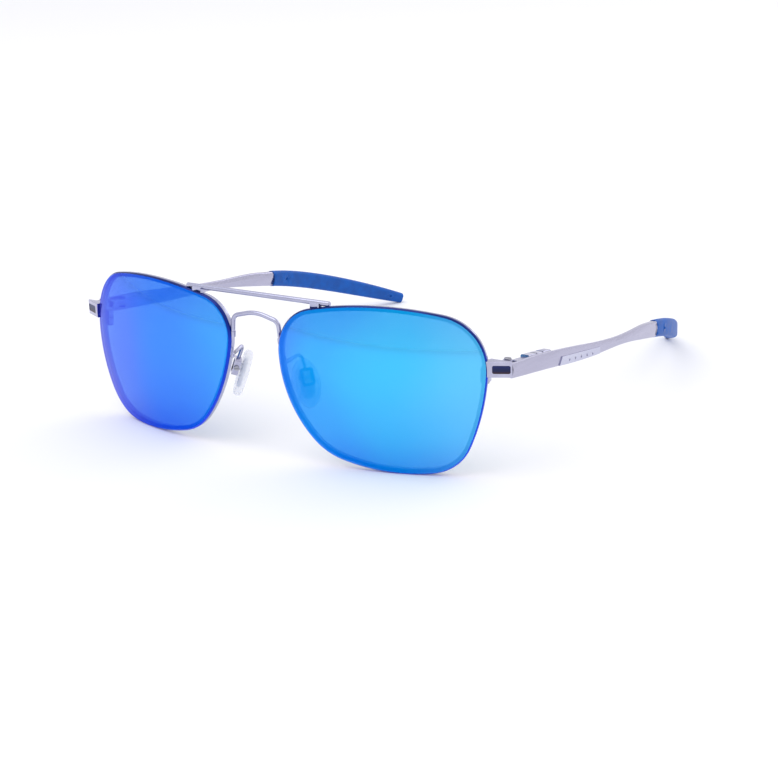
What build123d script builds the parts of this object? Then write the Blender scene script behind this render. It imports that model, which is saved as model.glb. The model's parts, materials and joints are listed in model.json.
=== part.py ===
from build123d import *
import os
from math import cos, radians, sin, sqrt

os.makedirs("parts", exist_ok=True)

# Metal sunglasses with a double bridge, standing on a table with the temples open.
# X is left to right (+X is the wearer's left), Y runs backward along the temples, Z is up.
# The origin is under the middle of the whole object, on the table. Sizes are in millimetres.
# Every paired piece is made for the wearer's left and mirrored for the right.

# ---- Driving dimensions: lens ----
# Corners of the outline before rounding, outward and upward from the lens centre,
# going round from the upper outer one past the nose. Each side bows out by its own height.
lens_corners = [(27.8, 17.6), (-28.0, 17.3), (-15.2, -18.4), (20.3, -20.5)]
side_bows = [4.7, 5.2, 2.5, 3.5]
corner_radii = [14.2, 11.8, 17.0, 12.8]
half_centres = 37.0          # from the middle of the nose to a lens centre
wrap_angle = 12.2            # each lens turned back towards the ear
base_radius = 84.5           # radius of the lens's front sphere
flange_thickness = 0.8       # the front of the lens, which covers the rim
lens_thickness = 2.0
lens_bevel = 0.35
lens_overhang = 1.91         # its foremost point, ahead of its apex plane

# ---- Driving dimensions: rim and closing blocks ----
rim_inset = 0.2              # how far the rim stands inside the lens's edge
rim_width = 1.15
rim_depth = 1.5
rim_rounding = 0.3
seat_gap = 0.03              # between the lens and its rim
slit = 0.12
block_width = 2.2
block_height = 1.9
block_depth = 1.6
rim_screw_radius = 0.55
rim_screw_head = 0.85
screw_head_height = 0.45     # of every screw in the frame
screw_slot_width = 0.25
screw_slot_depth = 0.2

# ---- Driving dimensions: end piece and hinge ----
hinge_height = 7.3           # above the lens centre
end_piece_height = 4.1
end_piece_angle = 26.0
end_piece_outer_x = 69.4
end_piece_back_y = 13.75     # behind the lens's apex plane, as all depths below
end_piece_blunt = 0.5
end_piece_reach = 7.2        # from its outer end to the lens
end_piece_undercut = 1.2     # its back starts this far outside its face
end_piece_rounding = 0.35
end_piece_easing = 0.12
recess_length = 4.6
recess_height = 2.1
recess_depth = 0.45
recess_rounding = 0.45
inlay_gap = 0.02
inlay_drop = 0.12            # from the face down to the inlay
lens_gap = 0.06              # round the lens, where other pieces wrap it
hinge_x = 66.6
hinge_y = 16.35
knuckle_radius = 1.25
eye_height = 1.3
knuckle_height = 0.8
knuckle_gap = 0.05
knuckle_swing_gap = 0.15     # between the eye and the leaf behind the knuckles
leaf_step = 0.1
hinge_pin_radius = 0.6
hinge_screw_head = 0.95
running_gap = 0.03
run_out_angle = 1.9          # the temple's front half leans outward
run_down_angle = 7.0         # and falls towards the ear

# ---- Driving dimensions: spring casing ----
arm_width = 1.2
arm_height = 0.95
arm_end = 8.0
rod_seat = 2.0               # length of the rod inside the arm
channel_gap = 0.06
casing_width = 2.5
weld_reach = 1.1             # from the casing's side into the temple
weld_step = 0.4              # the weld is lower than the casing by this, top and bottom
neck_start = 2.9
neck_height = 1.8
casing_start = 8.4
casing_end = 20.0
casing_height = 3.2
casing_rounding = 0.45
casing_end_rounding = 0.35
notch_places = [12.2, 15.4]  # two grooves across its top and bottom
notch_length = 0.5
notch_depth = 0.25
wall_gap = 0.6               # from the arm's end to the wall the spring bears on
stop_wall = 0.8
chamber_radius = 0.85
chamber_end = 18.9
rod_radius = 0.4
rod_head_radius = 0.72
rod_head_length = 0.6
rod_end = 18.2
spring_wire = 0.14
spring_turns = 8
spring_end_gap = 0.05

# ---- Driving dimensions: temple and tip ----
temple_front_y = 14.25
temple_thickness = 1.35
# Stations down the metal temple: depth, distance from the middle, height above the lens
# centre, height of the section, its thickness, the thickness of its top and bottom edges as
# a share of that, and the rounding of its corners.
temple_stations = [
    (temple_front_y, 68.72, 6.75, 4.0, temple_thickness, 0.5, 0.2),
    (22.0, 68.98, 5.9, 4.3, temple_thickness, 0.5, 0.2),
    (30.0, 69.25, 5.0, 4.5, temple_thickness, 0.5, 0.2),
    (39.0, 69.6, 3.8, 4.45, temple_thickness, 0.5, 0.2),
    (48.0, 69.9, 2.55, 4.2, temple_thickness, 0.5, 0.2),
    (55.0, 70.1, 1.62, 3.75, temple_thickness, 0.5, 0.2),
    (61.0, 70.2, 0.9, 3.3, 1.4, 0.5, 0.2),
    (70.0, 70.2, 0.0, 2.75, 1.5, 0.5, 0.2),
    (78.0, 69.95, -0.85, 2.9, 1.7, 0.55, 0.25),
    (88.0, 69.35, -2.1, 4.0, 2.0, 0.65, 0.35),
    (94.0, 68.85, -3.05, 4.5, 2.2, 0.75, 0.5),
    (100.6, 68.2, -4.15, 4.95, 2.4, 0.8, 0.65),
]
ridge_level = 0.08           # where the section is thickest, as a share of its height
joint_y = 100.2              # the furthest point of the metal
joint_z = -3.6
joint_radius = 5.0
# The tip's centre line: start, two guide points and end, and its section at each quarter.
tip_line = [(68.2, 98.5, -3.8), (67.9, 116.0, -6.7), (59.3, 137.6, -15.1), (49.8, 150.7, -20.69)]
tip_sections = [(2.45, 5.0), (2.8, 5.3), (2.9, 5.25), (2.75, 4.65), (2.3, 3.3)]
tip_overhang = 0.49          # the tip's furthest point, behind the end of its centre line
tip_rounding = 1.1
tip_end_rounding = 1.0
core_width = 1.0
core_height = 2.0
core_reach = 0.8             # how far down the tip the metal core runs
core_gap = 0.03
core_rounding = 0.3
core_steps = 4
dimple_radius = 0.4
dimples = [(0.14, 2.65), (0.9, 2.5)]     # share of the tip's length, and its thickness there

# ---- Driving dimensions: side plate ----
plate_front_y = 37.5
plate_back_y = 60.5
plate_front_z = 4.3          # its top edge, above the lens's centre
plate_back_z = 1.35
plate_height = 3.2
plate_thickness = 0.28
plate_slant = 1.2
plate_inner_x = 69.95
dot_radius = 0.4
dot_count = 5
dot_pitch = 3.2
dot_depth = 0.15
dot_drop = 1.35              # from the plate's top edge down to the dots

# ---- Driving dimensions: bridges ----
bar_half_length = 23.1
bar_radius = 0.7
bar_y = 2.0
bar_height = 21.5
foot_x = 19.1
foot_length = 2.8
foot_depth = 1.3
bridge_radius = 0.6
bridge_y = 0.9
bridge_foot = (7.75, 10.1)
bridge_shoulder = (7.25, 15.2)
bridge_peak = 17.05
shoulder_radius = 2.2
peak_radius = 12.0
solder_radius = 0.78
solder_length = 0.7          # each way from the end of the wire

# ---- Driving dimensions: nose pads ----
pad_centre = (10.45, 7.75, -2.95)
pad_fall = (4.07, -2.0, -12.56)      # direction of the pad's long axis, downward
pad_splay = 40.0                     # how far the pad's face turns backward
pad_length = 13.4
pad_width = 7.6
pad_thickness = 2.2
pad_rounding = 0.95
core_plate = (3.6, 8.4, 0.7)
box_outer = (3.6, 4.8)
box_wall = 0.75
box_depth = 1.7
box_rise = 1.5                       # the box sits above the pad's middle
box_stand_off = 0.45                 # from the pad's back
stem_width = 1.9
stem_height = 1.7
pad_screw_radius = 0.42
pad_screw_head = 0.7
arm_radius = 0.5
arm_foot = (8.5, 0.9, 4.1)
arm_bend = (9.45, 7.35, 5.3)
arm_bend_radius = 1.3

# ---- Places that follow from them ----
with BuildSketch() as lens_outline:
    with BuildLine():
        for start, end, bow in zip(lens_corners, lens_corners[1:] + lens_corners[:1], side_bows):
            SagittaArc(start, end, -bow)
    make_face()
    for corner, radius in zip(lens_corners, corner_radii):
        fillet(lens_outline.vertices().sort_by_distance(corner)[0], radius)

lens_z = -lens_outline.sketch.bounding_box().min.Y      # the lens's lowest point is on the table
front_y = -(tip_line[-1][1] + tip_overhang - lens_overhang) / 2   # the origin is under the middle

wrap = radians(wrap_angle)
lens_plane = Plane(
    origin=(half_centres, front_y, lens_z),
    x_dir=(cos(wrap), sin(wrap), 0),
    z_dir=(sin(wrap), -cos(wrap), 0),
)
sphere_centre = lens_plane.from_local_coords(Vector(0, 0, -base_radius))
hinge_z = lens_z + hinge_height
rim_front = flange_thickness + seat_gap
rim_back = rim_front + rim_depth


def place(x, y, z):
    """A point given from the middle of the nose, the lens's apex plane and the lens's centre."""
    return Vector(x, front_y + y, lens_z + z)


def inset(amount):
    """The lens outline moved inward by amount, or outward if it is negative."""
    with BuildSketch() as moved:
        with BuildLine():
            for arc in lens_outline.sketch.edges():
                points = [arc @ share for share in (0, 0.5, 1)]
                ThreePointArc([point + (arc.arc_center - point).normalized() * amount for point in points])
        make_face()
    return moved.sketch


def dished(outline, front, back):
    """An outline on the lens, bent to its sphere, between two depths behind its front."""
    with BuildPart() as shell:
        with BuildSketch(lens_plane.offset(2)):
            add(outline)
        extrude(amount=-18)
        with Locations(sphere_centre):
            Sphere(base_radius - front, mode=Mode.INTERSECT)
            Sphere(base_radius - back, mode=Mode.SUBTRACT)
    return shell.part


def on_sphere(shape, depth):
    """The edges of a shape that lie on the lens's sphere at a depth."""
    return shape.edges().filter_by(
        lambda edge: all(
            abs((edge @ t - sphere_centre).length - (base_radius - depth)) < 0.01 for t in (0, 0.5, 1)
        )
    )


def screw(start, length, radius, head_radius):
    """A slotted screw whose shank begins on a plane and ends under its head."""
    with BuildPart() as whole:
        with BuildSketch(start):
            Circle(radius)
        extrude(amount=length)
        with BuildSketch(start.offset(length)):
            Circle(head_radius)
        extrude(amount=screw_head_height)
        with BuildSketch(start.offset(length + screw_head_height)):
            Rectangle(2 * head_radius, screw_slot_width)
        extrude(amount=-screw_slot_depth, mode=Mode.SUBTRACT)
    return whole.part


def write(piece, name):
    """Label a finished piece and write it as a STEP file."""
    piece.label = name
    export_step(piece, f"parts/{name}.step")


def write_pair(piece, name):
    """Write a piece for the wearer's left and its mirror image for the right."""
    write(piece, f"left_{name}")
    write(mirror(piece, about=Plane.YZ), f"right_{name}")


# ---- Lens: a full flange in front, and a step behind that fits inside the rim ----
flange = dished(lens_outline.sketch, 0, flange_thickness)
step = dished(inset(rim_inset + rim_width + seat_gap), flange_thickness - 0.05, lens_thickness)
with BuildPart() as lens:
    add(flange)
    add(step)
    chamfer(on_sphere(lens.part, 0), lens_bevel)
write_pair(lens.part, "lens")

# ---- Rim: a closed wire behind the flange, slit at the hinge side ----
rim_ring = inset(rim_inset) - inset(rim_inset + rim_width)
rim_envelope = dished(inset(rim_inset), rim_front, rim_back)
slit_level = hinge_height - end_piece_height / 2 - slit
outer_edge = lens_outline.sketch.bounding_box().max.X
slit_room = 4 * rim_width
with BuildPart() as rim:
    add(dished(rim_ring, rim_front, rim_back))
    fillet(on_sphere(rim.part, rim_back), rim_rounding)
    with Locations(lens_plane.from_local_coords(Vector(outer_edge, slit_level, -slit_room))):
        Box(slit_room, 3 * slit_room, slit, mode=Mode.SUBTRACT)
write_pair(rim.part, "rim")

# ---- Closing blocks and their screw, on the back of the rim at the slit ----
block_u = outer_edge - rim_inset - block_width / 2
screw_dip = base_radius - rim_back - block_depth / 2
screw_w = sqrt(screw_dip**2 - block_u**2 - slit_level**2) - base_radius
screw_plane = Plane(
    lens_plane.from_local_coords(Vector(block_u, slit_level, screw_w)), z_dir=(0, 0, -1)
)


def block(level):
    """One closing block, centred at a level on the rim."""
    with BuildSketch() as face:
        with Locations((block_u, level)):
            Rectangle(block_width, block_height)
    return dished(face.sketch, rim_back, rim_back + block_depth)


upper_level = slit_level + slit / 2 + block_height / 2
lower_level = slit_level - slit / 2 - block_height / 2
upper_body = block(upper_level)
lower_body = block(lower_level)
with BuildPart() as upper_block:
    add(upper_body)
    with Locations(screw_plane):
        Cylinder(rim_screw_radius, 3 * block_height, mode=Mode.SUBTRACT)
write_pair(upper_block.part, "upper_block")

with BuildPart() as lower_block:
    add(lower_body)
    with Locations(screw_plane):
        Cylinder(rim_screw_radius, 3 * block_height, mode=Mode.SUBTRACT)
write_pair(lower_block.part, "lower_block")

rim_screw = screw(screw_plane.offset(-block_height), 2 * block_height + slit / 2, rim_screw_radius, rim_screw_head)
write_pair(rim_screw, "rim_screw")

# ---- End piece: a solid wedge from the rim to the hinge, with a recess in its face ----
slope = sin(radians(end_piece_angle)) / cos(radians(end_piece_angle))
corner_y = end_piece_back_y - end_piece_blunt
inner_x = end_piece_outer_x - end_piece_reach
face_centre_x = (end_piece_outer_x + lens_plane.from_local_coords(Vector(outer_edge, 0, 0)).X) / 2
face_y = corner_y - (end_piece_outer_x - face_centre_x) * slope
face_plane = Plane(
    origin=place(face_centre_x, face_y, hinge_height),
    x_dir=(cos(radians(end_piece_angle)), sin(radians(end_piece_angle)), 0),
    z_dir=(sin(radians(end_piece_angle)), -cos(radians(end_piece_angle)), 0),
)
flange_room = dished(inset(-lens_gap), -lens_thickness, rim_front)
with BuildPart() as end_piece:
    with BuildSketch(Plane.XY.offset(hinge_z - end_piece_height / 2)):
        with BuildLine():
            Polyline(
                (inner_x, front_y + corner_y - end_piece_reach * slope),
                (end_piece_outer_x, front_y + corner_y),
                (end_piece_outer_x, front_y + end_piece_back_y),
                (inner_x + end_piece_undercut, front_y + end_piece_back_y),
                close=True,
            )
        make_face()
    extrude(amount=end_piece_height)
    outer_edges = end_piece.edges().filter_by(Axis.Z).sort_by(Axis.X)[-2:]
    fillet(outer_edges.sort_by(Axis.Y)[0], end_piece_rounding)
    fillet(end_piece.edges().filter_by(Axis.Z, reverse=True).group_by(Axis.X)[-1], end_piece_easing)
    add(flange_room, mode=Mode.SUBTRACT)
    add(rim_envelope, mode=Mode.SUBTRACT)
    add(upper_body, mode=Mode.SUBTRACT)
    with BuildSketch(face_plane):
        RectangleRounded(recess_length, recess_height, recess_rounding)
    extrude(amount=-recess_depth, mode=Mode.SUBTRACT)
write_pair(end_piece.part, "end_piece")

with BuildPart() as inlay:
    with BuildSketch(face_plane.offset(-recess_depth)):
        RectangleRounded(
            recess_length - 2 * inlay_gap, recess_height - 2 * inlay_gap, recess_rounding - inlay_gap
        )
    extrude(amount=recess_depth - inlay_drop)
write_pair(inlay.part, "end_inlay")

# ---- Hinge: two knuckles on the end piece, the eye between them, and the screw ----
hinge_point = place(hinge_x, hinge_y, hinge_height)
half_hinge = eye_height / 2 + knuckle_gap + knuckle_height
leaf_width = 2 * knuckle_radius - 2 * leaf_step
with BuildPart() as front_hinge:
    with BuildSketch(Plane.XY.offset(hinge_z - half_hinge)):
        with Locations((hinge_x, hinge_point.Y)):
            Circle(knuckle_radius)
        with Locations((hinge_x, front_y + (end_piece_back_y + hinge_y) / 2)):
            Rectangle(leaf_width, hinge_y - end_piece_back_y)
        with Locations((hinge_x, hinge_point.Y)):
            Circle(hinge_pin_radius, mode=Mode.SUBTRACT)
    extrude(amount=2 * half_hinge)
    with Locations(hinge_point):
        Box(
            4 * knuckle_radius, 2 * (knuckle_radius + knuckle_swing_gap), eye_height + 2 * knuckle_gap,
            mode=Mode.SUBTRACT,
        )
write_pair(front_hinge.part, "front_hinge")

hinge_screw_start = Plane(hinge_point).offset(-half_hinge)
write_pair(screw(hinge_screw_start, 2 * half_hinge, hinge_pin_radius, hinge_screw_head), "hinge_screw")

# ---- Spring casing on the temple, with the eye's arm, guide rod and spring inside ----
run_direction = Vector(
    sin(radians(run_out_angle)), cos(radians(run_out_angle)), -sin(radians(run_down_angle))
).normalized()
run_plane = Plane(hinge_point, x_dir=run_direction.cross(Vector(0, 0, -1)), z_dir=run_direction)
channel = (arm_width + 2 * channel_gap, arm_height + 2 * channel_gap)
weld_width = casing_width / 2 + weld_reach
wall_start = arm_end + wall_gap
wall_end = wall_start + stop_wall

with BuildPart() as hinge_eye:
    with BuildSketch(run_plane):
        Rectangle(arm_width, arm_height)
    extrude(amount=arm_end)
    with Locations(hinge_point):
        Cylinder(knuckle_radius, eye_height)
        Cylinder(hinge_pin_radius + running_gap, 3 * eye_height, mode=Mode.SUBTRACT)
    with BuildSketch(run_plane.offset(arm_end)):
        Circle(rod_radius)
    extrude(amount=-rod_seat, mode=Mode.SUBTRACT)
write_pair(hinge_eye.part, "hinge_eye")

with BuildPart() as hinge_casing:
    for start, end, height in [(neck_start, casing_start, neck_height), (casing_start, casing_end, casing_height)]:
        with BuildSketch(run_plane.offset(start)):
            RectangleRounded(casing_width, height, casing_rounding)
            with Locations((-weld_width / 2, 0)):
                Rectangle(weld_width, height - 2 * weld_step)
        extrude(amount=end - start)
    fillet(hinge_casing.edges().group_by(Axis.Y)[-1], casing_end_rounding)
    for along in notch_places:
        with BuildSketch(run_plane.offset(along)):
            with Locations((0, -casing_height / 2), (0, casing_height / 2)):
                Rectangle(2 * casing_width, 2 * notch_depth)
        extrude(amount=notch_length, mode=Mode.SUBTRACT)
    with BuildSketch(run_plane):
        Rectangle(*channel)
    extrude(amount=wall_start, mode=Mode.SUBTRACT)
    with BuildSketch(run_plane):
        Circle(rod_radius + channel_gap)
    extrude(amount=chamber_end, mode=Mode.SUBTRACT)
    with BuildSketch(run_plane.offset(wall_end)):
        Circle(chamber_radius)
    extrude(amount=chamber_end - wall_end, mode=Mode.SUBTRACT)
casing_body = hinge_casing.part

with BuildPart() as hinge_rod:
    with BuildSketch(run_plane.offset(arm_end - rod_seat)):
        Circle(rod_radius)
    extrude(amount=rod_end - arm_end + rod_seat)
    with BuildSketch(run_plane.offset(rod_end - rod_head_length)):
        Circle(rod_head_radius)
    extrude(amount=rod_head_length)
write_pair(hinge_rod.part, "hinge_rod")

spring_start = wall_end + spring_wire + spring_end_gap
spring_length = rod_end - rod_head_length - spring_wire - spring_end_gap - spring_start
spring_radius = (rod_radius + chamber_radius) / 2
with BuildPart() as hinge_spring:
    with BuildLine() as coil:
        Helix(spring_length / spring_turns, spring_length, spring_radius)
    with BuildSketch(Plane(coil.line @ 0, z_dir=coil.line % 0)):
        Circle(spring_wire)
    sweep(path=coil.line)
write_pair(run_plane.offset(spring_start).location * hinge_spring.part, "hinge_spring")


# ---- Temple: a flattened bar that narrows, then flares, with a core that runs into its tip ----
def temple_section(station, growth):
    """The temple's six-sided section at one station, grown sideways, its corners rounded."""
    y, x, z, height, thickness, edge_share, rounding = station
    top = height / 2
    side = thickness / 2 + growth
    edge = side - thickness * (1 - edge_share) / 2
    with BuildSketch(Plane(place(x, y, z), x_dir=(1, 0, 0), z_dir=(0, -1, 0))) as section:
        with BuildLine():
            Polyline(
                (edge, -top), (side, ridge_level * height), (edge, top),
                (-edge, top), (-side, ridge_level * height), (-edge, -top),
                close=True,
            )
        make_face()
        fillet(section.vertices(), rounding)
    return section.sketch


def tip_point(share):
    """The point and direction of the tip's centre line at a share of its length."""
    points = [place(*point) for point in tip_line]
    near, far = 1 - share, share
    weights = [near**3, 3 * near**2 * far, 3 * near * far**2, far**3]
    slopes = [-near**2, near**2 - 2 * near * far, 2 * near * far - far**2, far**2]
    middle = sum((point * weight for point, weight in zip(points, weights)), Vector(0, 0, 0))
    way = sum((point * weight for point, weight in zip(points, slopes)), Vector(0, 0, 0))
    return middle, way.normalized()


def tip_plane(share):
    """The plane across the tip at a share of its length, its x axis level and outward."""
    middle, way = tip_point(share)
    return Plane(middle, x_dir=way.cross(Vector(0, 0, 1)), z_dir=way)


tip_length = (place(*tip_line[0]) - place(*tip_line[-1])).length


def core(gap):
    """The flat metal core inside the tip, with a gap all round."""
    with BuildPart() as bar:
        for number in range(core_steps + 1):
            with BuildSketch(tip_plane((core_reach + gap / tip_length) * number / core_steps)):
                RectangleRounded(core_width + 2 * gap, core_height + 2 * gap, core_rounding)
        loft()
    return bar.part


# The metal ends in a rounded nose: a cylinder across the temple, and all that is before it.
nose_centre = place(0, joint_y - joint_radius, joint_z)
with BuildPart() as metal_room:
    with BuildSketch(Plane(nose_centre, x_dir=(0, 1, 0), z_dir=(1, 0, 0))):
        Circle(joint_radius)
        with Locations((-joint_y, 0)):
            Rectangle(2 * joint_y, joint_y)
    extrude(amount=joint_y)

core_bar = core(0)
core_room = core(core_gap)
with BuildPart() as temple:
    for station in temple_stations:
        add(temple_section(station, 0))
    loft()
    add(metal_room.part, mode=Mode.INTERSECT)
temple_bar = temple.part
write_pair(casing_body - temple_bar, "hinge_casing")

# ---- Side plate: a thin slanted plate on the outside of the temple, with a row of dots ----
plate_fall = (plate_front_z - plate_back_z) / (plate_back_y - plate_front_y)


def plate_point(y, down):
    """A point level with the side plate: at a depth, and below the plate's top edge."""
    return y, plate_front_z - plate_fall * (y - plate_front_y) - down


with BuildPart() as side_plate:
    for station in temple_stations:
        add(temple_section(station, plate_thickness))
    loft()
    with BuildSketch(Plane(place(plate_inner_x, 0, 0), x_dir=(0, 1, 0), z_dir=(1, 0, 0))):
        with BuildLine():
            Polyline(
                plate_point(plate_front_y, plate_height),
                plate_point(plate_front_y + plate_slant, 0),
                plate_point(plate_back_y - plate_slant, 0),
                plate_point(plate_back_y, plate_height),
                close=True,
            )
        make_face()
    extrude(amount=plate_height, mode=Mode.INTERSECT)
    add(temple_bar, mode=Mode.SUBTRACT)
    plate_skin = side_plate.part
    for number in range(dot_count):
        dot_y = (plate_front_y + plate_back_y) / 2 + (number - (dot_count - 1) / 2) * dot_pitch
        dot_ray = Axis(place(end_piece_outer_x + plate_height, *plate_point(dot_y, dot_drop)), (-1, 0, 0))
        dot_point, dot_normal = plate_skin.find_intersection_points(dot_ray)[0]
        with BuildSketch(Plane(dot_point, z_dir=dot_normal)):
            Circle(dot_radius)
        extrude(amount=-dot_depth, mode=Mode.SUBTRACT)
write_pair(side_plate.part, "side_plate")
write_pair(temple_bar + core_bar, "temple")

# ---- Temple tip: a soft sleeve over the core, with a mould mark near each end ----
with BuildPart() as temple_tip:
    for number, (thickness, height) in enumerate(tip_sections):
        with BuildSketch(tip_plane(number / (len(tip_sections) - 1))):
            RectangleRounded(thickness, height, tip_rounding)
    loft()
    fillet(temple_tip.faces().sort_by(Axis.Y)[-1].edges(), tip_end_rounding)
    for share, thickness in dimples:
        with Locations(tip_plane(share)):
            with Locations((-thickness / 2, 0), (thickness / 2, 0)):
                Sphere(dimple_radius, mode=Mode.SUBTRACT)
    add(metal_room.part, mode=Mode.SUBTRACT)
    add(core_room, mode=Mode.SUBTRACT)
write_pair(temple_tip.part, "temple_tip")

# ---- Brow bar: a straight round wire across the tops of both rims, on two feet ----
rim_room = rim_envelope + mirror(rim_envelope, about=Plane.YZ)
lens_room = flange_room + mirror(flange_room, about=Plane.YZ)
with BuildPart() as brow_bar:
    with BuildSketch(Plane(place(-bar_half_length, bar_y, bar_height), x_dir=(0, 1, 0), z_dir=(1, 0, 0))):
        Circle(bar_radius)
    extrude(amount=2 * bar_half_length)
    fillet(brow_bar.edges(), 0.3)
    with Locations(place(-foot_x, bar_y, bar_height), place(foot_x, bar_y, bar_height)):
        Box(foot_length, foot_depth, 3.4, align=(Align.CENTER, Align.MAX, Align.MAX))
    add(rim_room, mode=Mode.SUBTRACT)
    add(lens_room, mode=Mode.SUBTRACT)
write(brow_bar.part, "brow_bar")

# ---- Bridge: a bent round wire between the inner sides of the rims ----
with BuildPart() as bridge:
    with BuildLine(Plane(place(0, bridge_y, 0), x_dir=(1, 0, 0), z_dir=(0, -1, 0))) as bridge_line:
        foot_in, foot_up = bridge_foot
        shoulder_in, shoulder_up = bridge_shoulder
        FilletPolyline(
            (-foot_in, foot_up), (-shoulder_in, shoulder_up), (0, bridge_peak),
            (shoulder_in, shoulder_up), (foot_in, foot_up),
            radius=[shoulder_radius, peak_radius, shoulder_radius],
        )
    with BuildSketch(Plane(bridge_line.line @ 0, z_dir=bridge_line.line % 0)):
        Circle(bridge_radius)
    sweep(path=bridge_line.line)
    for share in (0, 1):
        with BuildSketch(Plane(bridge_line.line @ share, z_dir=bridge_line.line % share)):
            Circle(solder_radius)
        extrude(amount=solder_length, both=True)
    add(rim_room, mode=Mode.SUBTRACT)
    add(lens_room, mode=Mode.SUBTRACT)
write(bridge.part, "bridge")

# ---- Nose pads: a soft pad on a stiff plate, whose stem is screwed in a box on a bent arm ----
pad_down = Vector(*pad_fall).normalized()
splay = radians(pad_splay)
pad_face = Vector(-cos(splay), sin(splay), 0)
pad_face = (pad_face - pad_down * pad_face.dot(pad_down)).normalized()
pad_plane = Plane(place(*pad_centre), x_dir=pad_face.cross(pad_down), z_dir=pad_face)
pad_back = -pad_thickness / 2
box_front = pad_back - box_stand_off
box_middle = box_front - box_depth / 2
box_plane = pad_plane.offset(box_middle)
plate_width, plate_length, plate_depth = core_plate
plate_back = pad_back + 0.55
stem_place = (0, box_rise)

with BuildPart() as core_plate_solid:
    with BuildSketch(pad_plane.offset(plate_back)):
        SlotOverall(plate_length, plate_width, rotation=90)
    extrude(amount=plate_depth)
    with BuildSketch(box_plane.offset(-stem_height / 3)):
        with Locations(stem_place):
            RectangleRounded(stem_width, stem_height, 0.3)
    extrude(amount=plate_back - box_middle + stem_height / 3)
core_solid = core_plate_solid.part

screw_axis = Plane(box_plane.from_local_coords(Vector(*stem_place, 0)), z_dir=box_plane.x_dir)
box_width, box_height = box_outer
with BuildPart() as pad_core:
    add(core_solid)
    with BuildSketch(screw_axis.offset(-stem_width)):
        Circle(pad_screw_radius + running_gap)
    extrude(amount=2 * stem_width, mode=Mode.SUBTRACT)
write_pair(pad_core.part, "pad_core")

with BuildPart() as nose_pad:
    with BuildSketch(pad_plane.offset(pad_back)):
        Ellipse(pad_width / 2, pad_length / 2)
    extrude(amount=pad_thickness)
    fillet(nose_pad.edges(), pad_rounding)
    add(core_solid, mode=Mode.SUBTRACT)
write_pair(nose_pad.part, "nose_pad")

with BuildPart() as pad_box:
    with BuildSketch(box_plane.offset(-box_depth / 2)):
        with Locations(stem_place):
            RectangleRounded(box_width, box_height, 0.9)
            Rectangle(box_width - 2 * box_wall, box_height - 2 * box_wall, mode=Mode.SUBTRACT)
    extrude(amount=box_depth)
    with BuildSketch(screw_axis.offset(-box_width)):
        Circle(pad_screw_radius)
    extrude(amount=2 * box_width, mode=Mode.SUBTRACT)
write_pair(pad_box.part, "pad_box")

pad_screw_start = screw_axis.offset(-box_width / 2)
write_pair(screw(pad_screw_start, box_width, pad_screw_radius, pad_screw_head), "pad_screw")

with BuildPart() as box_block:
    with BuildSketch(box_plane.offset(-box_depth / 2)):
        with Locations(stem_place):
            RectangleRounded(box_width, box_height, 0.9)
    extrude(amount=box_depth)
arm_end_point = box_plane.from_local_coords(Vector(0, box_rise + box_height / 2 - 0.3, 0))
with BuildPart() as pad_arm:
    with BuildLine() as arm_line:
        FilletPolyline(place(*arm_foot), place(*arm_bend), arm_end_point, radius=arm_bend_radius)
    with BuildSketch(Plane(arm_line.line @ 0, z_dir=arm_line.line % 0)):
        Circle(arm_radius)
    sweep(path=arm_line.line)
    with Locations(place(*arm_foot)):
        Sphere(solder_radius)
    add(rim_envelope, mode=Mode.SUBTRACT)
    add(flange_room, mode=Mode.SUBTRACT)
    add(box_block.part, mode=Mode.SUBTRACT)
write_pair(pad_arm.part, "pad_arm")
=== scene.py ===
import json
from math import cos, radians, sin

import bmesh
import bpy
from mathutils import Matrix, Vector


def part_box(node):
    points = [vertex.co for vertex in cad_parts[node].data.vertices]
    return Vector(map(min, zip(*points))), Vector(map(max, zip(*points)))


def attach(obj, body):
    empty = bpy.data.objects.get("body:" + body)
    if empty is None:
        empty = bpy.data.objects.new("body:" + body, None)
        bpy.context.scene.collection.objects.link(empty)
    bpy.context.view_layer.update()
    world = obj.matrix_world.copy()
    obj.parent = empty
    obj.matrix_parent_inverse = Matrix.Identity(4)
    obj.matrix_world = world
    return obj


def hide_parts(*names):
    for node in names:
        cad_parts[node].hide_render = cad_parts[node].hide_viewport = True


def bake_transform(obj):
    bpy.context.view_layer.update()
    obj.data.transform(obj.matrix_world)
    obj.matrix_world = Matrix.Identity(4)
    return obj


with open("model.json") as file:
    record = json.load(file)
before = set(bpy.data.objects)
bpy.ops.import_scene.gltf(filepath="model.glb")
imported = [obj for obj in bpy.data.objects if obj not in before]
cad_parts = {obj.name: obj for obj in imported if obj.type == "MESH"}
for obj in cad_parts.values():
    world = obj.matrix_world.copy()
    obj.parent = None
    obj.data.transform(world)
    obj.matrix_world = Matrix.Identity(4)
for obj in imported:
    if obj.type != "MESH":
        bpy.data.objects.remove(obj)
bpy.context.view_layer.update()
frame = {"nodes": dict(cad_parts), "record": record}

# ---- Drawn wires: the two rims, the bridge, the brow bar and the pad arms ----
# Nickel-silver wire, drawn, bent on formers and silver-soldered, then polished and plated.
# Under the plating a fine drawing grain still shows along the wire.
sides = ("left", "right")
rides_on = {
    node: body for body, nodes in frame["record"]["behaviour"]["bodies"].items() for node in nodes
}
joining_distance = 1e-6
flat_within = radians(0.3)
crease = radians(35.0)


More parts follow.
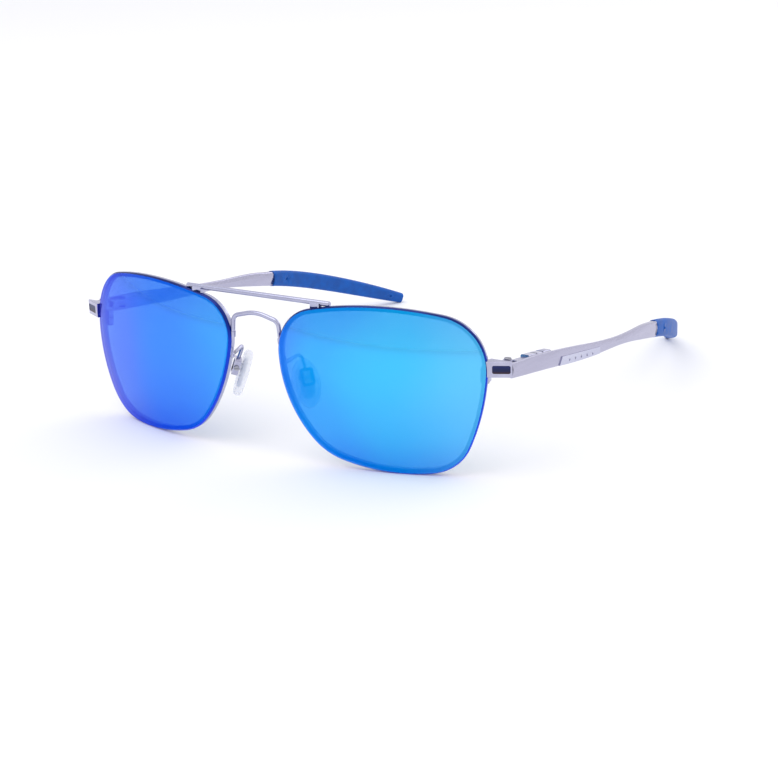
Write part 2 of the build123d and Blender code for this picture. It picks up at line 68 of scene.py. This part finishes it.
def polished(node, easing=0.0, rides=True):
    """The node's shape with its loose faces joined, its edges eased and its curves smooth."""
    form = bmesh.new()
    form.from_mesh(frame["nodes"][node].data)
    bmesh.ops.remove_doubles(form, verts=form.verts, dist=joining_distance)
    bmesh.ops.dissolve_limit(form, angle_limit=flat_within, verts=form.verts, edges=form.edges)
    for face in form.faces:
        face.smooth = True
    mesh = bpy.data.meshes.new(node + "_finish")
    form.to_mesh(mesh)
    form.free()
    mesh.set_sharp_from_angle(angle=crease)
    piece = bpy.data.objects.new(node + "_finish", mesh)
    bpy.context.scene.collection.objects.link(piece)
    if easing:
        eased = piece.modifiers.new("eased_edges", "BEVEL")
        eased.width = easing
        eased.segments = 2
        eased.limit_method = "ANGLE"
        eased.angle_limit = crease
        eased.harden_normals = True
        eased.use_clamp_overlap = True
    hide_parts(node)
    if rides:
        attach(piece, rides_on[node])
    return piece


def cover(piece, *materials):
    """Give a piece its materials; the first one covers it unless its faces say otherwise."""
    piece.data.materials.clear()
    for material in materials:
        piece.data.materials.append(material)


def new_material(name, **plain):
    """A material, its node tree and its main shader, with that shader's plain values."""
    made = bpy.data.materials.new(name)
    made.use_nodes = True
    shader = made.node_tree.nodes["Principled BSDF"]
    for socket, value in plain.items():
        shader.inputs[socket.replace("_", " ")].default_value = value
    return made, made.node_tree, shader


def add_node(tree, kind, settings=None, **sockets):
    """A new node, with its settings and the plain values of its sockets."""
    made = tree.nodes.new(kind)
    for name, value in (settings or {}).items():
        setattr(made, name, value)
    for name, value in sockets.items():
        made.inputs[name].default_value = value
    return made


def own_place(tree):
    """The piece's own coordinates."""
    return add_node(tree, "ShaderNodeTexCoord").outputs["Object"]


def rescaled(tree, source, low, high, to_low, to_high):
    """A value taken from one range to another, and held inside it."""
    made = add_node(tree, "ShaderNodeMapRange")
    for socket, level in zip(made.inputs[1:5], (low, high, to_low, to_high)):
        socket.default_value = level
    tree.links.new(source, made.inputs["Value"])
    return made.outputs["Result"]


# Drawing or polishing grain: long fine streaks, and a slow cloudiness over them.
grain = bpy.data.node_groups.new("polishing_grain", "ShaderNodeTree")
grain.interface.new_socket("Vector", in_out="INPUT", socket_type="NodeSocketVector")
grain_start = grain.nodes.new("NodeGroupInput")
grain_end = grain.nodes.new("NodeGroupOutput")
for layer, scale, usual_scale, detail, roughness in (
    ("Streaks", "Fineness", 9000.0, 4.0, 0.6),
    ("Cloudiness", "Cloud", 260.0, 3.0, 0.55),
):
    scale_socket = grain.interface.new_socket(scale, in_out="INPUT", socket_type="NodeSocketFloat")
    scale_socket.default_value = usual_scale
    grain.interface.new_socket(layer, in_out="OUTPUT", socket_type="NodeSocketFloat")
    texture = add_node(grain, "ShaderNodeTexNoise", Detail=detail, Roughness=roughness)
    grain.links.new(grain_start.outputs["Vector"], texture.inputs["Vector"])
    grain.links.new(grain_start.outputs[scale], texture.inputs["Scale"])
    grain.links.new(texture.outputs["Fac"], grain_end.inputs[layer])

grain_height = 0.00002


def metal(name, dark, light, smoothest, roughest, stretch, grain_bump):
    """A metal finish: two close tints in clouds, and streaks stretched along one way."""
    made, tree, shader = new_material(name, Metallic=1.0)
    along = add_node(tree, "ShaderNodeMapping", Scale=stretch)
    marks = add_node(tree, "ShaderNodeGroup", {"node_tree": grain})
    tint = add_node(tree, "ShaderNodeMix", {"data_type": "RGBA"})
    tint.inputs["A"].default_value = (*dark, 1.0)
    tint.inputs["B"].default_value = (*light, 1.0)
    lift = add_node(tree, "ShaderNodeBump", Strength=grain_bump, Distance=grain_height)
    streaks = marks.outputs["Streaks"]
    tree.links.new(own_place(tree), along.inputs["Vector"])
    tree.links.new(along.outputs["Vector"], marks.inputs["Vector"])
    tree.links.new(marks.outputs["Cloudiness"], tint.inputs["Factor"])
    tree.links.new(tint.outputs["Result"], shader.inputs["Base Color"])
    gloss = rescaled(tree, streaks, 0.3, 0.7, smoothest, roughest)
    tree.links.new(gloss, shader.inputs["Roughness"])
    tree.links.new(streaks, lift.inputs["Height"])
    tree.links.new(lift.outputs["Normal"], shader.inputs["Normal"])
    return made


wire_plating = metal(
    "wire_plating", dark=(0.36, 0.36, 0.50), light=(0.56, 0.57, 0.72),
    smoothest=0.12, roughest=0.26, stretch=(0.25, 1.0, 1.0), grain_bump=0.25,
)
wires = ("bridge", "brow_bar", "left_rim", "left_pad_arm", "right_rim", "right_pad_arm")
for node in wires:
    cover(polished(node), wire_plating)

# ---- Machined fittings: end pieces, closing blocks, hinges and pad boxes ----
# Stamped or turned from nickel silver, soldered to the rim, then tumbled, polished and
# plated with the wires. Tumbling leaves their edges slightly rounded and brighter.
tumbled_edge = 0.00008
fitting_plating = metal(
    "fitting_plating", dark=(0.38, 0.37, 0.50), light=(0.56, 0.56, 0.70),
    smoothest=0.14, roughest=0.28, stretch=(1.0, 1.0, 0.35), grain_bump=0.2,
)
fittings = (
    "end_piece", "upper_block", "lower_block", "front_hinge", "hinge_eye", "hinge_casing",
    "pad_box",
)
for side in sides:
    for part in fittings:
        cover(polished(f"{side}_{part}", tumbled_edge), fitting_plating)

# ---- Screws, guide rods and springs ----
# Turned stainless steel with sawn slots, and drawn spring steel, left unplated and so greyer
# than the frame. Each spring sits between the wall of its casing and the head of the rod.
# In the real frame it shortens as the casing slides; here it rides on no body and is baked in
# place.
turned_edge = 0.00004
bare_steel = metal(
    "bare_steel", dark=(0.30, 0.30, 0.34), light=(0.46, 0.46, 0.50),
    smoothest=0.24, roughest=0.40, stretch=(1.0, 1.0, 4.0), grain_bump=0.3,
)
for side in sides:
    for part in ("rim_screw", "hinge_screw", "pad_screw"):
        cover(polished(f"{side}_{part}", turned_edge), bare_steel)
    cover(polished(side + "_hinge_rod"), bare_steel)
    spring = polished(side + "_hinge_spring", rides=False)
    cover(spring, bare_steel)
    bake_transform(spring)

# ---- Temples ----
# Each is one flattened bar of the same metal, swaged to a six-sided section and brushed
# along its length before plating. The slanted plate is pressed and soldered on its outside.
pressed_edge = 0.00005
temple_plating = metal(
    "temple_plating", dark=(0.38, 0.37, 0.49), light=(0.54, 0.53, 0.67),
    smoothest=0.18, roughest=0.30, stretch=(1.0, 0.04, 1.0), grain_bump=0.18,
)
plate_plating = metal(
    "plate_plating", dark=(0.46, 0.46, 0.60), light=(0.62, 0.63, 0.77),
    smoothest=0.12, roughest=0.24, stretch=(1.0, 0.10, 1.0), grain_bump=0.2,
)
for side in sides:
    cover(polished(side + "_temple"), temple_plating)
    cover(polished(side + "_side_plate", pressed_edge), plate_plating)

# ---- Lenses ----
# Ground from 2 mm grey sheet, stepped at the back to sit in the rim. The front has a hard
# vacuum-laid blue mirror coat. Its run from violet to cyan from side to side, and its turn to
# violet low down, are the coat's colour shift with viewing angle, painted in by position as a
# painted reflection colour. Its bevel is painted darker towards the top as shade from the rim's
# groove, and lighter blue towards the bottom as a painted highlight.
base_radius = 0.0845
bevel_reach = 0.00005
lens_thickness = 0.002
flange_back = 0.0007
lens_wrap = radians(12.2)
lens_middle_x = 0.037
nose_y = -0.07464
lens_middle_z = 0.022058
coat_reach = 0.064
lens_top = 0.0442


def ramp(tree, source, *stops):
    """A colour ramp on a value, with (place, (red, green, blue)) stops, smoothly joined."""
    made = add_node(tree, "ShaderNodeValToRGB")
    made.color_ramp.interpolation = "EASE"
    band = made.color_ramp.elements
    while len(band) < len(stops):
        band.new(0.5)
    for element, (place, colour) in zip(band, stops):
        element.position = place
        element.color = (*colour, 1.0)
    tree.links.new(source, made.inputs["Fac"])
    return made.outputs["Color"]


def noise(tree, scale, detail, distortion=0.0):
    """Noise on the piece's own coordinates."""
    made = add_node(
        tree, "ShaderNodeTexNoise", Scale=scale, Detail=detail, Distortion=distortion
    )
    tree.links.new(own_place(tree), made.inputs["Vector"])
    return made.outputs["Fac"]


def spread(tree, low, high, axis):
    """How far a point lies between two levels along an axis, from 0 to 1."""
    split = add_node(tree, "ShaderNodeSeparateXYZ")
    tree.links.new(own_place(tree), split.inputs["Vector"])
    return rescaled(tree, split.outputs[axis], low, high, 0.0, 1.0)


def see_through(name, tint, solid, **plain):
    """A material that lets part of the light straight through, and its main shader."""
    made, tree, shader = new_material(name, **plain)
    clear = add_node(tree, "ShaderNodeBsdfTransparent", Color=(*tint, 1.0))
    both = add_node(tree, "ShaderNodeMixShader", Fac=solid)
    tree.links.new(clear.outputs["BSDF"], both.inputs[1])
    tree.links.new(shader.outputs["BSDF"], both.inputs[2])
    tree.links.new(both.outputs["Shader"], tree.nodes["Material Output"].inputs["Surface"])
    return made, tree, shader


mirror_coat, tree, shader = see_through(
    "mirror_coat", tint=(0.40, 0.85, 1.0), solid=0.74,
    Metallic=0.92, Specular_Tint=(0.75, 0.88, 1.0, 1.0),
)
shifted = add_node(tree, "ShaderNodeMath", {"operation": "ADD"})
wander = rescaled(tree, noise(tree, 28.0, 1.0, distortion=0.4), 0.3, 0.7, -0.04, 0.04)
tree.links.new(spread(tree, -coat_reach, coat_reach, "X"), shifted.inputs[0])
tree.links.new(wander, shifted.inputs[1])
# Painted reflection colour over the coat's own blue: violet to cyan from side to side along X,
# standing in for the coat's colour shift with viewing angle.
coat_blue_with_painted_angle_shift = ramp(
    tree, shifted.outputs["Value"],
    (0.0, (0.22, 0.16, 0.80)), (0.10, (0.06, 0.10, 0.94)), (0.24, (0.0, 0.16, 1.0)),
    (0.42, (0.005, 0.30, 1.0)), (0.56, (0.02, 0.22, 1.0)), (0.68, (0.0, 0.38, 1.0)),
    (0.82, (0.0, 0.52, 1.0)), (1.0, (0.08, 0.56, 1.0)),
)
# Painted reflection colour: towards violet low down on the lens, standing in for the coat's colour
# shift with viewing angle.
painted_angle_shift_by_height = ramp(
    tree, spread(tree, 0.0, lens_top, "Z"),
    (0.0, (1.0, 0.55, 0.98)), (0.30, (1.0, 0.86, 1.0)),
    (0.65, (1.0, 1.0, 1.0)), (1.0, (0.85, 0.80, 1.0)),
)
# The coat's own blue multiplied by the painted angle shift.
coat_blue_and_painted_shift = add_node(tree, "ShaderNodeMix", {"data_type": "RGBA", "blend_type": "MULTIPLY"})
coat_blue_and_painted_shift.inputs["Factor"].default_value = 0.8
smear_gloss = rescaled(tree, noise(tree, 160.0, 5.0), 0.35, 0.75, 0.035, 0.075)
tree.links.new(coat_blue_with_painted_angle_shift, coat_blue_and_painted_shift.inputs["A"])
tree.links.new(painted_angle_shift_by_height, coat_blue_and_painted_shift.inputs["B"])
tree.links.new(coat_blue_and_painted_shift.outputs["Result"], shader.inputs["Base Color"])
tree.links.new(smear_gloss, shader.inputs["Roughness"])

bevel_coat, tree, shader = new_material("bevel_coat", Metallic=0.6, Roughness=0.12)
# Painted light and shade on the bevel: dark navy towards the top as painted shade from the rim's
# groove, bright blue towards the bottom as a painted highlight.
bevel_painted_shade_and_highlight = ramp(
    tree, spread(tree, 0.0, lens_top, "Z"),
    (0.0, (0.0, 0.06, 0.85)), (0.6, (0.0, 0.045, 0.60)),
    (0.85, (0.0, 0.016, 0.20)), (1.0, (0.0, 0.013, 0.15)),
)
tree.links.new(bevel_painted_shade_and_highlight, shader.inputs["Base Color"])

smoke_back, tree, shader = see_through(
    "smoke_back", tint=(0.82, 0.88, 0.94), solid=0.28, Roughness=0.05
)
smoke = ramp(
    tree, noise(tree, 220.0, 4.0), (0.3, (0.030, 0.034, 0.045)), (0.7, (0.045, 0.050, 0.065))
)
tree.links.new(smoke, shader.inputs["Base Color"])

coat_slot, bevel_slot, back_slot = range(3)
for side in sides:
    lens = polished(side + "_lens")
    cover(lens, mirror_coat, bevel_coat, smoke_back)
    facing = Vector((sin(lens_wrap), -cos(lens_wrap), 0))
    sphere_middle = Vector((lens_middle_x, nose_y, lens_middle_z)) - facing * base_radius
    if side == "right":
        sphere_middle.x = -sphere_middle.x
    normals = []
    for face in lens.data.polygons:
        corners = [lens.data.vertices[corner].co - sphere_middle for corner in face.vertices]
        depths = [base_radius - corner.length for corner in corners]
        if max(depths) < bevel_reach:
            face.material_index = coat_slot
            normals += [corner.normalized() for corner in corners]
        elif min(depths) > lens_thickness - bevel_reach:
            face.material_index = back_slot
            normals += [-corner.normalized() for corner in corners]
        else:
            face.material_index = back_slot if min(depths) > flange_back else bevel_slot
            normals += [face.normal.copy() for corner in corners]
    lens.data.normals_split_custom_set(normals)

# ---- Inlays in the end pieces ----
# A shallow recess in each end piece filled with navy enamel and baked. It is glossy; the faint
# warm tint at its lower edge is a painted reflection.
enamel_edge = 0.00004
navy_enamel, tree, shader = new_material("navy_enamel", Roughness=0.12, Specular_IOR_Level=0.35)
inlay_low, inlay_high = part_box("left_end_inlay")
# Navy enamel, with a painted reflection: a warm brownish tint towards the bottom edge.
enamel_with_painted_reflection = ramp(
    tree, spread(tree, inlay_low.z, inlay_high.z, "Z"),
    (0.0, (0.035, 0.008, 0.012)), (0.35, (0.0, 0.006, 0.06)), (1.0, (0.0, 0.008, 0.10)),
)
tree.links.new(enamel_with_painted_reflection, shader.inputs["Base Color"])
for side in sides:
    cover(polished(side + "_end_inlay", enamel_edge), navy_enamel)

# ---- Nose pads ----
# Clear soft silicone moulded over a stiff clear plate, whose stem goes in the pad box. The
# silicone is slightly milky, with a satin skin that grips the nose.
core_edge = 0.00005
clear_silicone, tree, shader = see_through("clear_silicone", tint=(0.98, 0.98, 1.0), solid=0.30)
milk = noise(tree, 600.0, 3.0)
milky = ramp(tree, milk, (0.3, (0.90, 0.92, 0.96)), (0.7, (0.97, 0.98, 1.0)))
tree.links.new(milky, shader.inputs["Base Color"])
tree.links.new(rescaled(tree, milk, 0.0, 1.0, 0.20, 0.34), shader.inputs["Roughness"])

stiff_clear, tree, shader = see_through(
    "stiff_clear", tint=(0.95, 0.96, 0.99), solid=0.42, Roughness=0.15
)
clear_tint = ramp(
    tree, noise(tree, 900.0, 2.0), (0.3, (0.74, 0.77, 0.83)), (0.7, (0.84, 0.87, 0.92))
)
tree.links.new(clear_tint, shader.inputs["Base Color"])
for side in sides:
    cover(polished(side + "_nose_pad"), clear_silicone)
    cover(polished(side + "_pad_core", core_edge), stiff_clear)

# ---- Temple tips ----
# Soft blue sleeves moulded in rubber and pushed over the temple's flat core, with a small
# mould mark near each end. Their skin is satin, with the fine texture of the mould.
pore_depth = 0.00004
blue_rubber, tree, shader = new_material(
    "blue_rubber", Specular_IOR_Level=0.3, Sheen_Weight=0.06, Sheen_Roughness=0.35
)
mottle = noise(tree, 350.0, 4.0)
dye = ramp(tree, mottle, (0.3, (0.0, 0.075, 0.36)), (0.7, (0.0, 0.100, 0.46)))
pitted = add_node(tree, "ShaderNodeBump", Strength=0.35, Distance=pore_depth)
tree.links.new(dye, shader.inputs["Base Color"])
tree.links.new(rescaled(tree, mottle, 0.3, 0.7, 0.42, 0.58), shader.inputs["Roughness"])
tree.links.new(noise(tree, 5200.0, 2.0), pitted.inputs["Height"])
tree.links.new(pitted.outputs["Normal"], shader.inputs["Normal"])
for side in sides:
    cover(polished(side + "_temple_tip"), blue_rubber)

# ---- Floor, light and camera ----
# A plain pale floor under a soft white tent that is a little darker towards the horizon, a
# large soft light above and to the left, and a smaller one behind for the far temple.
floor_reach = 12.0
floor_form = bmesh.new()
bmesh.ops.create_grid(floor_form, x_segments=1, y_segments=1, size=floor_reach)
floor_mesh = bpy.data.meshes.new("floor")
floor_form.to_mesh(floor_mesh)
floor_form.free()
floor = bpy.data.objects.new("floor", floor_mesh)
bpy.context.scene.collection.objects.link(floor)
pale, tree, shader = new_material(
    "pale_floor", Base_Color=(0.93, 0.93, 0.94, 1.0), Roughness=0.9
)
cover(floor, pale)

tent = bpy.data.worlds.new("tent")
tent.use_nodes = True
bpy.context.scene.world = tent
tree = tent.node_tree
sky = tree.nodes["Background"]
outward = add_node(tree, "ShaderNodeTexCoord")
split = add_node(tree, "ShaderNodeSeparateXYZ")
tree.links.new(outward.outputs["Generated"], split.inputs["Vector"])
height = ramp(
    tree, split.outputs["Z"],
    (0.0, (1.0, 1.0, 1.0)), (0.35, (0.88, 0.88, 0.93)),
    (0.7, (0.96, 0.96, 1.0)), (1.0, (1.0, 1.0, 1.0)),
)
tree.links.new(height, sky.inputs["Color"])
sky.inputs["Strength"].default_value = 1.0
bpy.context.scene.view_settings.view_transform = "Standard"


def softbox(name, place, aim, width, height, power):
    """A rectangular area light at a place, facing a point."""
    lamp = bpy.data.lights.new(name, "AREA")
    lamp.shape = "RECTANGLE"
    lamp.size = width
    lamp.size_y = height
    lamp.energy = power
    holder = bpy.data.objects.new(name, lamp)
    turned = (Vector(aim) - Vector(place)).to_track_quat("-Z", "Y").to_matrix().to_4x4()
    holder.matrix_world = Matrix.Translation(place) @ turned
    bpy.context.scene.collection.objects.link(holder)


softbox("overhead", place=(-0.3, -0.5, 1.3), aim=(0, 0, 0), width=1.2, height=1.2, power=5.0)
softbox("back", place=(0.4, 1.0, 0.7), aim=(0, 0, 0.02), width=0.8, height=0.5, power=1.5)

camera_place = (0.27866, -0.43888, 0.16173)
turn, rise, roll, lean = radians(33.167), radians(18.046), radians(2.171), 0.01
toward = Vector((sin(turn) * cos(rise), -cos(turn) * cos(rise), sin(rise)))
level = Vector((cos(turn), sin(turn), 0))
upright = toward.cross(level)
axes = Matrix((
    cos(roll) * level - sin(roll) * upright,
    sin(roll) * level + cos(roll) * upright,
    toward,
)).transposed().to_4x4()
lens_data = bpy.data.cameras.new("camera")
lens_data.lens = 83.86
lens_data.sensor_width = 36.0
lens_data.clip_start = 0.01
lens_data.clip_end = 60.0
camera = bpy.data.objects.new("camera", lens_data)
camera.matrix_world = Matrix.Translation(camera_place) @ Matrix.Rotation(lean, 4, "X") @ axes
bpy.context.scene.collection.objects.link(camera)
bpy.context.scene.camera = camera
